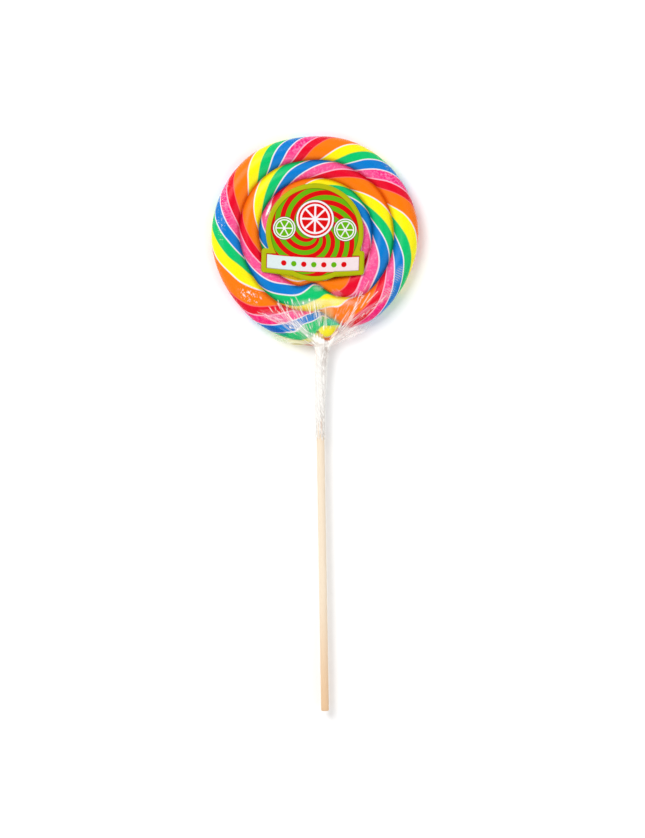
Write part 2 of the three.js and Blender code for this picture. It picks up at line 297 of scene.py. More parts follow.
# Where the film clings in small specks: middle, half-length, half-width, turn.
SPECKS = [
    ((-45.5, 20), 9, 3.2, 80),
    ((-47, 4), 8, 2.6, 92),
    ((-33, -30.5), 7.5, 4.5, -35),
    ((40, 31), 9, 3.0, -48),
]

# Where the film is scuffed in a comb of parallel lines, as SPECKS.
COMBS = [
    ((41.5, -21.5), 5.5, 2.6, 62),
    ((36.2, -30.8), 5.5, 2.8, 50),
]
COMB_STEP = 1.35         # degrees of the coil from line to line

# The label: a disc with a band across it, whose lower edge sinks where it meets the disc.
LABEL_RADIUS = 24.4
LABEL_BAND = {"left": -26.2, "right": 25.1, "bottom": -20.7, "top": -8.7}
LABEL_CORNER = 1.4
LABEL_SINK = 1.3
LABEL_TURN = -2.5
LABEL_Z = 10.93
LABEL_THICK = 0.27
LABEL_STEP = 0.5         # between points of its edge
LABEL_GRID = 1.0         # between its inner points, and how far in they start
LABEL_MARGIN = 0.6

FLOOR_Z = -0.5           # just under the film's lowest pleat
FLOOR_HALF = 4000.0

# The light dome: bright all round, with a dark hole straight above, by the direction's height.
DOME = {"From Min": 0.86, "From Max": 0.97, "To Min": 0.78, "To Max": 0.12}
# Lamps: name, place and size in metres, and power in watts. They are aimed at one point.
LAMPS = [
    ("key", (-0.55, 0.45, 1.0), 0.7, 9.0),
    ("fill", (0.7, -0.5, 0.9), 1.2, 3.0),
]
LAMP_TARGET = (VIEW_CENTRE[0] * MM, -0.02, 0)


# ---------- numbers ----------

def clamp(x):
    return np.clip(x, 0.0, 1.0)


def smooth(x, low, high):
    s = clamp((x - low) / (high - low))
    return s * s * (3 - 2 * s)


def lerp(a, b, s):
    return a + (b - a) * s


def hermite(stations, t):
    """A smooth curve through the stations, held to their slope."""
    at, value = np.array(stations, float).T
    slope = np.gradient(value, at)
    i = np.clip(np.searchsorted(at, t) - 1, 0, len(at) - 2)
    span = at[i + 1] - at[i]
    u = (t - at[i]) / span
    return (
        (2 * u**3 - 3 * u**2 + 1) * value[i] + (u**3 - 2 * u**2 + u) * span * slope[i]
        + (3 * u**2 - 2 * u**3) * value[i + 1] + (u**3 - u**2) * span * slope[i + 1]
    )


def linear(srgb, alpha=1.0):
    """An sRGB colour of 0 to 255 as Blender's linear one."""
    c = np.array(srgb, float) / 255
    c = np.where(c <= 0.04045, c / 12.92, ((c + 0.055) / 1.055) ** 2.4)
    return (*[float(v) for v in c], alpha)


def patch(x, y, centre, long, wide, turn):
    """1 in the middle of a soft ellipse and 0 outside it."""
    a = math.radians(turn)
    dx, dy = x - centre[0], y - centre[1]
    u = (dx * math.cos(a) + dy * math.sin(a)) / long
    v = (dy * math.cos(a) - dx * math.sin(a)) / wide
    return 1 - smooth(np.hypot(u, v), 0.45, 1.15)


def crumple(rng, rows, columns, size, wrap=False):
    """Smooth random heights of about -1 to 1 over a grid, with bumps of the given size."""
    count = (max(3, rows // size + 3), max(3, columns // size + (0 if wrap else 3)))
    knots = rng.uniform(-1, 1, count)
    r = np.arange(rows) / size
    c = np.arange(columns) * (count[1] / columns if wrap else 1 / size)
    i, j = r.astype(int), c.astype(int)
    u, v = smooth(r - i, 0, 1)[:, None], smooth(c - j, 0, 1)[None, :]
    after = (j + 1) % count[1]
    low = lerp(knots[i][:, j], knots[i][:, after], v)
    high = lerp(knots[i + 1][:, j], knots[i + 1][:, after], v)
    return lerp(low, high, u)


# ---------- the coil ----------

def circle(number, t):
    radius, lean, toward, _ = RINGS[number]
    return radius + lean * np.cos(np.radians(t - toward))


def edge(t):
    """Distance of the coil's spiral edge from its middle."""
    t = np.asarray(t, float)
    radius = circle(0, t)
    for turn in range(1, len(RINGS)):
        share = smooth(t - 360 * (turn - 1), *RINGS[turn][3])
        radius = radius + share * (circle(turn, t) - circle(turn - 1, t))
    for at, reach, height in DENTS:
        x = (t - at) / reach
        radius = radius + np.where(abs(x) < 1, height * (1 + np.cos(np.pi * x)) / 2, 0)
    return radius


def outer_side(t):
    return lerp(edge(TIP), edge(t - 360), smooth(t, TIP, TIP + FLANK))


def middle(t):
    return (THICKNESS - DISH * (t - TIP) / 360) / 2


def half_height(t):
    return middle(t) * np.sqrt(smooth(t, TIP, TIP + TIP_SWELLS))


def side_height(t):
    return GROOVE * smooth(t, TIP, TIP + GROOVE_OPENS)


def crown(x, side):
    return np.sqrt(np.maximum(1 - (1 - side * side) * x * x, 0))


def section_height(t, x, face):
    """Height of the rope's upper (face 1) or lower (face -1) side, x from -1 out to 1 in."""
    side = side_height(np.where(x < 0, t - 360, t))
    share = crown(x, side)
    if face < 0:
        share = np.minimum(1, share / crown(PRESSED, side))
    return middle(t) + face * half_height(t) * share


def on_plane(t, radius):
    return -np.sin(np.radians(t)) * radius, -np.cos(np.radians(t)) * radius


def wrapped_height(x, y, face):
    """Height of a film pulled tight over one face of the coil, and where it meets the coil."""
    radius = np.hypot(x, y)
    start = (np.degrees(np.arctan2(-x, -y)) - TIP) % 360 + TIP
    height = middle(TIP + 360 * TURNS) * (1 + face) * np.ones_like(radius)
    for turn in range(TURNS):
        t = start + 360 * turn
        outer, inner = outer_side(t), edge(t)
        across = np.clip(2 * (outer - radius) / (outer - inner) - 1, -1, 1)
        candy = section_height(t, across, face)
        bridge = lerp(middle(t) + face * half_height(t), candy, FILM_SAG)
        held = candy if turn == 0 else bridge
        taut = np.where(across < 0, held, bridge)
        height = np.where((radius <= outer) & (radius > inner), taut, height)
    outside = radius > outer_side(start)
    return np.where(outside, middle(start), height), ~outside


# ---------- meshes ----------

def mesh_object(name, points, faces, uvs=None):
    """A smooth mesh, points in millimetres. uvs maps a layer's name to (u, v) of each corner."""
    mesh = bpy.data.meshes.new(name)
    mesh.from_pydata((np.asarray(points, float) * MM).tolist(), [], faces)
    for layer, values in (uvs or {}).items():
        data = mesh.uv_layers.new(name=layer).data
        data.foreach_set("uv", np.array(values, np.float32).ravel())
    mesh.validate()
    mesh.update()
    mesh.polygons.foreach_set("use_smooth", [True] * len(mesh.polygons))
    piece = bpy.data.objects.new(name, mesh)
    bpy.context.scene.collection.objects.link(piece)
    return piece


def grid_faces(rows, columns, wrap=False, flip=False):
    """Quads of a grid of points stored row by row."""
    faces = []
    for row in range(rows - 1):
        for column in range(columns if wrap else columns - 1):
            after = (column + 1) % columns
            face = (
                row * columns + column, row * columns + after,
                (row + 1) * columns + after, (row + 1) * columns + column,
            )
            faces.append(face[::-1] if flip else face)
    return faces


def corner_uvs(faces, values):
    return [values[i] for face in faces for i in face]


# ---------- materials ----------

def operator(kind, swapped=False):
    """A method of Term that adds a math node of this kind."""
    def method(term, *others):
        values = (*others, term) if swapped else (term, *others)
        return term.nodes.math(kind, *values)
    return method


class Term:
    """A number in a node tree, with the usual signs of arithmetic."""

    def __init__(self, nodes, socket):
        self.nodes = nodes
        self.socket = socket

    __add__ = operator("ADD")
    __sub__ = operator("SUBTRACT")
    __rsub__ = operator("SUBTRACT", swapped=True)
    __mul__ = operator("MULTIPLY")
    __truediv__ = operator("DIVIDE")
    __abs__ = operator("ABSOLUTE")
    fract = operator("FRACT")
    least = operator("MINIMUM")
    most = operator("MAXIMUM")

    def above(self, level, blur=0.12):
        """0 below the level, 1 above it, with a narrow soft edge."""
        return self.nodes.step(self, level - blur, level + blur)

    def below(self, level, blur=0.12):
        return 1 - self.above(level, blur)


class Nodes:
    """A material's node tree, built from short calls."""

    def __init__(self, name):
        self.material = bpy.data.materials.new(name)
        self.material.use_nodes = True
        self.tree = self.material.node_tree
        self.tree.nodes.clear()
        self.out = self.tree.nodes.new("ShaderNodeOutputMaterial")

    def add(self, kind, inputs=None, **settings):
        node = self.tree.nodes.new("ShaderNode" + kind)
        for key, value in settings.items():
            setattr(node, key, value)
        for key, value in (inputs or {}).items():
            self.put(node.inputs[key], value)
        return node

    def put(self, socket, value):
        """Link or set a socket. A colour of three numbers is sRGB."""
        if isinstance(value, Term):
            value = value.socket
        if isinstance(value, bpy.types.NodeSocket):
            self.tree.links.new(value, socket)
        else:
            socket.default_value = linear(value) if np.size(value) == 3 else value

    def math(self, kind, *values):
        node = self.add("Math", dict(enumerate(values)), operation=kind)
        return Term(self, node.outputs[0])

    def mix(self, share, a, b, blend="MIX"):
        colours = {"Factor": share, 6: a, 7: b}
        node = self.add("Mix", colours, data_type="RGBA", blend_type=blend)
        return node.outputs[2]

    def uv(self, layer):
        node = self.add("UVMap", uv_map=layer)
        split = self.add("SeparateXYZ", {"Vector": node.outputs[0]})
        return Term(self, split.outputs[0]), Term(self, split.outputs[1])

    def vector(self, x, y, z=0.0):
        return self.add("CombineXYZ", {"X": x, "Y": y, "Z": z}).outputs[0]

    def length(self, x, y):
        return self.math("SQRT", x * x + y * y)

    def turn(self, x, y):
        """The direction of (x, y) in turns, from -0.5 to 0.5."""
        return self.math("ARCTAN2", y, x) / (2 * math.pi)

    def noise(self, scale, detail=2.0, roughness=0.5, vector=None):
        vector = vector or self.add("TexCoord").outputs["Object"]
        node = self.add("TexNoise", {
            "Vector": vector, "Scale": scale, "Detail": detail, "Roughness": roughness,
        })
        return Term(self, node.outputs[0])

    def step(self, value, low, high):
        """0 below low, 1 above high, smooth between."""
        inputs = {"Value": value, "From Min": low, "From Max": high}
        node = self.add("MapRange", inputs, interpolation_type="SMOOTHSTEP")
        return Term(self, node.outputs[0])

    def ramp(self, value, stops):
        node = self.add("ValToRGB", {"Fac": value})
        elements = node.color_ramp.elements
        while len(elements) > 1:
            elements.remove(elements[-1])
        elements[0].position, elements[0].color = stops[0]
        for position, colour in stops[1:]:
            elements.new(position).color = colour
        return node.outputs[0], Term(self, node.outputs[1])

    def bump(self, height, distance, strength):
        node = self.add("Bump", {"Height": height, "Distance": distance * MM, "Strength": strength})
        return node.outputs[0]

    def surface(self, **inputs):
        named = {key.replace("_", " "): value for key, value in inputs.items()}
        shader = self.add("BsdfPrincipled", named)
        self.tree.links.new(shader.outputs[0], self.out.inputs["Surface"])
        return shader


def stripe_stops():
    """Colour ramp stops of one cycle. Their alpha is 1 on pink, where the candy is mottled.

    The cycle ends in half of the line that it starts with.
    """
    white, line = LINES["white"]
    stops = [(0.0, linear(white, 0)), (line / 2, linear(white, 0))]
    at = 0.0
    for i, (name, colour, width, parting) in enumerate(STRIPES):
        tint = linear(colour, 1 if name == "pink" else 0)
        before = STRIPES[i - 1][3]
        half = LINES[before][1] / 2 if before else 0
        stops.append((at + half + LINE_BLUR, tint))
        at += width
        after, line = LINES[parting] if parting else (None, 0)
        stops.append((min(at, 1.0) - line / 2 - LINE_BLUR, tint))
        if parting:
            stops.append((at - line / 2, linear(after, 0)))
            if i < len(STRIPES) - 1:
                stops.append((at + line / 2, linear(after, 0)))
    return stops


def candy_material():
    """Stripes with slightly wandering lines, mottled where pink, with painted shade in the grooves.
    """
    n = Nodes("striped_candy")
    cycle, groove = n.uv("rope")
    along, across = n.uv("grain")
    wander = (n.noise(90, 1) - 0.5) * 0.016
    colour, pink = n.ramp((cycle + wander).fract(), stripe_stops())

    blotch = n.noise(800, 3, 0.7)
    outer_turn = along.below(350, 10)
    rim = outer_turn * across.below(2, 3)
    magenta = n.step(blotch, 0.46, 0.56) * (rim * 0.8 + 0.1)
    colour = n.mix(magenta * pink, colour, MAGENTA)
    colour = n.mix(n.step(blotch, 0.47, 0.38) * pink * 0.45, colour, PALE_PINK)
    beside_stick = along.below(48, 12).most(along.above(312, 12) * outer_turn)
    deep_pink = beside_stick * across.below(-1.5, 3) * pink * 0.7
    colour = n.mix(deep_pink, colour, DEEP_PINK)

    pulled = n.noise(6.0, 4, 0.6, n.vector(cycle * 12.0, along * 0.02, across * 0.3))
    colour = n.mix(n.step(pulled, 0.55, 0.2) * 0.25, colour, PULLED_TINT, "MULTIPLY")
    # Painted shade: the candy is darkened towards the grooves.
    colour = n.mix(n.step(groove, 0.66, 1.0) * 0.5, colour, PAINTED_GROOVE_SHADE, "MULTIPLY")
    n.surface(
        Base_Color=colour,
        Roughness=n.noise(300) * 0.15 + 0.2,
        Specular_IOR_Level=0.15,
        Normal=n.bump(n.noise(300, 3, 0.5) + pulled, 0.02, 0.4),
    )
    return n.material


def wood_material():
    """Pale wood with fibres and pores drawn out along the stick, darker towards its free end."""
    n = Nodes("birch_dowel")
    along, around = n.uv("grain")
    vector = n.vector(along * 0.03, around)
    fibre = n.noise(9.0, 5, 0.6, vector)
    pores = n.noise(40.0, 3, 0.7, vector)
    colour = n.mix(n.step(along, 150, 225), WOOD_PALE, WOOD_DARK)
    colour = n.mix(n.step(fibre, 0.45, 0.75) * 0.3, colour, WOOD_STREAK)
    colour = n.mix(n.step(pores, 0.62, 0.75) * 0.3, colour, WOOD_PORE)
    n.surface(
        Base_Color=colour,
        Roughness=fibre * 0.2 + 0.5,
        Normal=n.bump(fibre + pores, 0.08, 0.6),
    )
    return n.material


def film_material(name, veil, rough, tint, shaded):
    """Clear film: see-through, mirror-like at a slant, and whitish where it is creased.

    veil is how much of it shows everywhere, and shaded how strongly painted shade darkens the
    gathers round the stick on their right.
    """
    n = Nodes(name)
    crease, haze = n.uv("film")
    specks, comb = n.uv("marks")
    bearing, distance = n.uv("rays")
    glance = Term(n, n.add("LayerWeight", {"Blend": 0.35}).outputs["Facing"])
    shine = n.math("POWER", glance, 3.0) * 0.2 + veil
    flecks = specks * n.step(n.noise(1200, 2, 0.5), 0.6, 0.66) * 0.6

    place = n.add("SeparateXYZ", {"Vector": n.add("TexCoord").outputs["Object"]})
    around = n.turn(Term(n, place.outputs[0]), Term(n, place.outputs[1])) * (360 / COMB_STEP)
    teeth = abs(around.fract() - 0.5).above(0.25, 0.12) * comb * 0.3

    # Hazy patches break up into lines that run out from the neck, straight or slanted.
    straight = n.noise(1.0, 3, 0.6, n.vector(bearing * 0.9, distance * 0.07))
    leaning = (bearing + distance * 1.6) * 0.6
    slanted = n.noise(1.0, 3, 0.6, n.vector(leaning, distance * 0.1, 7.0))
    lines = straight.above(0.56, 0.05).most(slanted.above(0.6, 0.05))
    white = crease.most(haze * (lines * 0.75 + 0.25))
    # The painted reflections and shade carried by the film, with their strength.
    painted_tint = n.add("Attribute", attribute_name="painted_tint").outputs
    painted_tint_share = Term(n, painted_tint["Alpha"])
    cover = (white.most(flecks).most(teeth).most(painted_tint_share) + shine).least(1.0)

    # Painted shade on the sleeve, in a band a little right of its top: greyish gathers near the
    # neck, and short ticks all down the sleeve.
    gathers = n.noise(1.0, 2, 0.5, n.vector(bearing * 0.5, distance * 0.3, 3.0)).above(0.5, 0.1)
    ticks = n.noise(1.0, 2, 0.6, n.vector(bearing * 0.7 + distance * 0.8, distance * 0.35, 5.0))
    painted_shade = (gathers * distance.below(10, 8)).most(ticks.above(0.58, 0.05) * 0.8)
    right = abs(bearing - PAINTED_SHADE_SIDE).below(4.5, 2.5) * shaded
    colour = n.mix(painted_shade * right, tint, SHADED_TINT)
    colour = n.mix(painted_tint_share / cover.most(0.01), colour, painted_tint["Color"])
    shader = n.add("BsdfPrincipled", {
        "Base Color": colour, "Roughness": rough, "Specular IOR Level": 0.3,
        "Normal": n.bump(n.noise(260, 3, 0.6) + straight, 0.2, 0.35),
    })
    clear = n.add("BsdfTransparent")
    mixed = n.add("MixShader", {0: cover, 1: clear.outputs[0], 2: shader.outputs[0]})
    n.tree.links.new(mixed.outputs[0], n.out.inputs["Surface"])
    return n.material


def floor_material():
    n = Nodes("white_floor")
    n.surface(Base_Color=(0.97, 0.97, 0.97, 1), Roughness=0.6)
    return n.material


# The label's print, in millimetres from its middle.
LIME = (168, 173, 0)
RED = (206, 0, 4)
GREEN = (95, 166, 0)
DEEP = (86, 30, 10)
PAPER = (232, 226, 230)
COOL_PAPER = (208, 221, 222)  # the panel's left end, and its right end
WARM_PAPER = (228, 211, 213)
FIBRE_TINT = (200, 190, 170)
BORDER = 2.4
BLADES = 7
BLADE_CURL = 0.028       # turns for each millimetre outwards
SLICES = [
    # middle, radius, segments, colour
    ((0.0, 6.6), 9.4, 8, RED),
    ((-15.2, 1.6), 5.6, 6, GREEN),
    ((15.2, 1.6), 5.6, 6, GREEN),
]
PANEL = {"x": -0.5, "y": -14.9, "wide": 22.9, "high": 3.45}
PANEL_FRAME = 0.4
DOT_STEP = 5.0
DOT_RADIUS = 1.35
DOT_ROW = 17.4           # half the row's length


def slice_print(n, colour, x, y, slice_of):
    """A round fruit slice: white rim, coloured rind, white pith and segments."""
    (across, up), radius, segments, flesh = slice_of
    dx, dy = x - across, y - up
    from_middle = n.length(dx, dy)
    wedge = (n.turn(dx, dy) * segments + 0.5 * segments).fract()
    spoke = wedge.least(1 - wedge) * from_middle * (2 * math.pi / segments)
    segment = from_middle.below(radius * 0.7) * from_middle.above(radius * 0.14)
    segment = segment * spoke.above(radius * 0.05)
    rind = from_middle.below(radius * 0.9) * from_middle.above(radius * 0.8)
    colour = n.mix(from_middle.below(radius + 0.35) * 0.75, colour, DEEP)
    colour = n.mix(from_middle.below(radius), colour, PAPER)
    return n.mix(segment.most(rind), colour, flesh)


def label_material():
    """Printed paper: a lime edge, a pinwheel, three fruit slices and a panel with dots."""
    n = Nodes("printed_paper")
    x, y = n.uv("print")
    bowed = y + (1 - x * x / (LABEL_BAND["right"] ** 2)) * LABEL_SINK
    from_middle = n.length(x, y)
    band = (x - LABEL_BAND["left"]).least(LABEL_BAND["right"] - x)
    band = band.least(bowed - LABEL_BAND["bottom"]).least(LABEL_BAND["top"] - y)
    inside = (LABEL_RADIUS - from_middle).most(band)

    blade = (n.turn(x, y) * BLADES + from_middle * BLADE_CURL * BLADES + BLADES).fract()
    pinwheel = abs(blade - 0.5).above(0.25, 0.012)
    colour = n.mix(pinwheel, RED, GREEN)
    for slice_of in SLICES:
        colour = slice_print(n, colour, x, y, slice_of)

    to_side = PANEL["wide"] - abs(x - PANEL["x"])
    in_panel = to_side.least(PANEL["high"] - abs(bowed - PANEL["y"]))
    dot_x = (x / DOT_STEP + 0.5).fract() - 0.5
    dot = n.length(dot_x * DOT_STEP, bowed - PANEL["y"]).below(DOT_RADIUS) * abs(x).below(DOT_ROW)
    other = abs((x / (2 * DOT_STEP) + 0.5).fract() - 0.5).above(0.25, 0.01)
    colour = n.mix(in_panel.above(-PANEL_FRAME), colour, RED)
    panel = n.mix(x.above(-4, 8), COOL_PAPER, WARM_PAPER)
    colour = n.mix(in_panel.above(0.0), colour, panel)
    colour = n.mix(dot, colour, n.mix(other, GREEN, RED))

    colour = n.mix(inside.below(BORDER + 0.3) * 0.6, colour, DEEP)
    colour = n.mix(inside.below(BORDER), colour, LIME)
    fibre = n.noise(700, 4, 0.6)
    colour = n.mix(n.step(fibre, 0.4, 0.8) * 0.1, colour, FIBRE_TINT, "MULTIPLY")
    n.surface(
        Base_Color=colour,
        Roughness=fibre * 0.2 + 0.3,
        Specular_IOR_Level=0.1,
        Normal=n.bump(fibre, 0.02, 0.5),
    )
    return n.material


# ---------- pieces ----------

def rope_points(angles, x):
    """Points of the rope, and for its upper (1) and lower side (-1) their numbers by column.

    The rope starts in one point. Each turn shares the points of its outer edge with the turn
    outside it, and the first turn's two sides share theirs.
    """
    points = [(*on_plane(TIP, float(edge(TIP))), middle(TIP))]
    rows = {face: [[0] * (CELLS + 1)] for face in (1, -1)}
    for column, t in enumerate(angles[1:], 1):
        radius = lerp(float(outer_side(t)), float(edge(t)), (x + 1) / 2)
        px, py = on_plane(t, radius)
        start = len(points)
        for face in (1, -1):
            pz = section_height(t, x, face)
            first = 1 if column >= COLUMNS or face < 0 else 0
            row = list(range(len(points) - first, len(points) - first + CELLS + 1))
            points.extend(zip(px[first:], py[first:], pz[first:]))
            if column >= COLUMNS:
                row[0] = rows[face][column - COLUMNS][CELLS]
            elif face < 0:
                row[0] = start
            rows[face].append(row)
    return points, rows


def core_rings(points, loop, z):
    """Rings of points that shrink from a loop to the coil's centre and rise to its height z."""
    rings = [loop]
    for step in range(1, CORE_RINGS):
        share = 1 - step / CORE_RINGS
        rise = math.sin(math.pi / 2 * min(1, step / CORE_RINGS / CORE))
        ring = []
        for i in loop:
            px, py, pz = points[i]
            ring.append(len(points))
            points.append((px * share, py * share, lerp(pz, z, rise)))
        rings.append(ring)
    rings.append([len(points)] * len(loop))
    points.append((0, 0, z))
    return rings


def candy_rope():
    """The coil at full fineness: upper and lower side of the rope, turn by turn."""
    faces, rope, grain = [], [], []
    x = -np.cos(np.pi * np.arange(CELLS + 1) / CELLS)
    columns = TURNS * COLUMNS
    angles = TIP + np.arange(columns + 1) * 360 / COLUMNS
    cycles = hermite(TWIST, angles)
    at, outward, inward = np.array(SKEW).T
    skew = (np.interp(angles, at, outward), np.interp(angles, at, inward))
    points, rows = rope_points(angles, x)

    def corner(column, cell, face):
        """A corner's place in the stripes and nearness to a groove, and its place in the grain."""
        side = side_height(angles[column] - 360 if x[cell] < 0 else angles[column])
        round_section = math.asin(np.clip(math.sqrt(1 - side * side) * x[cell], -1, 1))
        turn = round_section / (2 * math.pi)
        place = cycles[column] + (turn if face > 0 else 0.5 - turn)
        place += skew[int(x[cell] > 0)][column] * x[cell]
        return (place, abs(x[cell]) * side / GROOVE), (angles[column], x[cell] * 8)

    for face in (1, -1):
        for column in range(columns):
            for cell in range(CELLS):
                corners = [(column, cell), (column, cell + 1)]
                corners += [(column + 1, cell + 1), (column + 1, cell)]
                kept = {}
                for c in corners[::face]:
                    kept.setdefault(rows[face][c[0]][c[1]], c)
                if len(kept) > 2:
                    faces.append(tuple(kept))
                    for c in kept.values():
                        stripe, fibre = corner(*c, face)
                        rope.append(stripe)
                        grain.append(fibre)

    # The coil's middle, inside the last turn and the rope's inner end.
    loop = [(c, CELLS) for c in range(columns - COLUMNS, columns)]
    loop += [(columns, cell) for cell in range(CELLS, 0, -1)]
    for face in (1, -1):
        z = float(middle(TIP + 360 * TURNS)) * (1 + face)
        rings = core_rings(points, [rows[face][c][cell] for c, cell in loop], z)
        for a, b in zip(rings, rings[1:]):
            for i in range(len(loop)):
                j = (i + 1) % len(loop)
                quad = {a[i]: i, b[i]: i, b[j]: j, a[j]: j}
                order = list(quad)[::face]
                faces.append(tuple(order))
                for p in order:
                    column = loop[quad[p]][0]
                    rope.append((cycles[column] + 0.25, 0.3))
                    grain.append((angles[column], 0.0))
    piece = mesh_object("candy_rope", points, faces, {"rope": rope, "grain": grain})
    piece.data.materials.append(candy_material())
    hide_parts("candy")
    return piece


def stick_dowel():
    """The wooden stick, with a sanded end."""
    body = np.linspace(STICK_HEAD, STICK_END + STICK_BEVEL[0][0], STICK_RINGS)
    profile = [(y, STICK_RADIUS) for y in body]
    profile += [(STICK_END + up, STICK_RADIUS - less) for up, less in STICK_BEVEL[1:]]
    points, values = [], []
    for y, radius in profile:
        for side in range(STICK_SIDES + 1):
            angle = 2 * math.pi * side / STICK_SIDES
            wobble = radius * (1 + 0.006 * math.sin(3 * angle + y * 0.05))
            points.append((
                STICK_X + wobble * math.cos(angle), y, STICK_Z + wobble * math.sin(angle),
            ))
            values.append((STICK_HEAD - y, 12.0 * side / STICK_SIDES))
    faces = grid_faces(len(profile), STICK_SIDES + 1)
    uv = corner_uvs(faces, values)
    for y, row in ((STICK_HEAD, 0), (STICK_END, len(profile) - 1)):
        ring = [row * (STICK_SIDES + 1) + side for side in range(STICK_SIDES)]
        faces.append(tuple(ring if row else ring[::-1]))
        uv.extend((STICK_HEAD - y, 0.2 * i) for i in range(STICK_SIDES))
    piece = mesh_object("stick_dowel", points, faces, {"grain": uv})
    piece.data.materials.append(wood_material())
    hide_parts("stick")
    return piece


def pleated(angle):
    """How far the gathered film's folds stand out at an angle round the stick."""
    return 0.10 * np.cos(PLEATS * angle) + 0.05 * np.cos(17 * angle + 1.1)


def creases(rng, u, distance, spread):
    """Fine folds that run out from the neck, 0 to 1. The spread is a step of u in millimetres."""
    total = np.zeros_like(distance)
    for low, high, count, first, length in CREASES:
        for _ in range(count):
            at = rng.uniform(low, high)
            drift = rng.normal(0, 0.0016)
            start = rng.uniform(*first)
            end = start + rng.uniform(*length)
            width = rng.uniform(0.12, 0.28)
            strength = rng.uniform(0.25, 0.85)
            away = (u - at - drift * (distance - start)) * spread / width
            lasts = smooth(distance, start - 1, start + 1) * (1 - smooth(distance, end - 3, end))
            total = np.maximum(total, strength * lasts * np.exp(-away * away))
    return total


def scratches(rng):
    """Short straight folds, written as FOLDS are."""
    found = []
    for middle_at, long, wide, turned, count, directions in SCRATCHES:
        a = math.radians(turned)
        for _ in range(count):
            u, v = rng.normal(0, 0.45, 2) * (long, wide)
            x = middle_at[0] + u * math.cos(a) - v * math.sin(a)
            y = middle_at[1] + u * math.sin(a) + v * math.cos(a)
            d = math.radians(rng.uniform(*directions))
            half = rng.uniform(0.7, 2.6)
            step = (half * math.cos(d), half * math.sin(d))
            path = [(x - step[0], y - step[1]), (x + step[0], y + step[1])]
            found.append((path, rng.uniform(0.1, 0.24), rng.uniform(0.3, 0.95)))
    return found


def folds(x, y, paths):
    """White folds along paths, 0 to 1."""
    total = np.zeros_like(x)
    for path, wide, white in paths:
        for (ax, ay), (bx, by) in zip(path, path[1:]):
            length = math.dist((ax, ay), (bx, by))
            along = clamp(((x - ax) * (bx - ax) + (y - ay) * (by - ay)) / length**2)
            away = np.hypot(x - lerp(ax, bx, along), y - lerp(ay, by, along)) / wide
            total = np.maximum(total, white * np.exp(-away * away))
    return total


def patches(x, y, spots):
    """Soft ellipses, each with a strength as its last number if it isn't 1."""
    total = np.zeros_like(x)
    for spot in spots:
        strength = spot[4] if len(spot) > 4 else 1
        total = np.maximum(total, strength * patch(x, y, *spot[:4]))
    return total


def add_painted_tints(piece, x, y, tints):
    """Give each point of a film the colour of its strongest painted tint of reflection and shade,
    with its strength as alpha.
    """
    colour = np.tile([1.0, 1.0, 1.0, 0.0], (x.size, 1))
    for *spot, strength, srgb in tints:
        share = strength * patch(x.ravel(), y.ravel(), *spot)
        stronger = share > colour[:, 3]
        colour[stronger, :3] = linear(srgb)[:3]
        colour[stronger, 3] = share[stronger]
    layer = piece.data.color_attributes.new("painted_tint", "FLOAT_COLOR", "POINT")
    layer.data.foreach_set("color", colour.astype(np.float32).ravel())


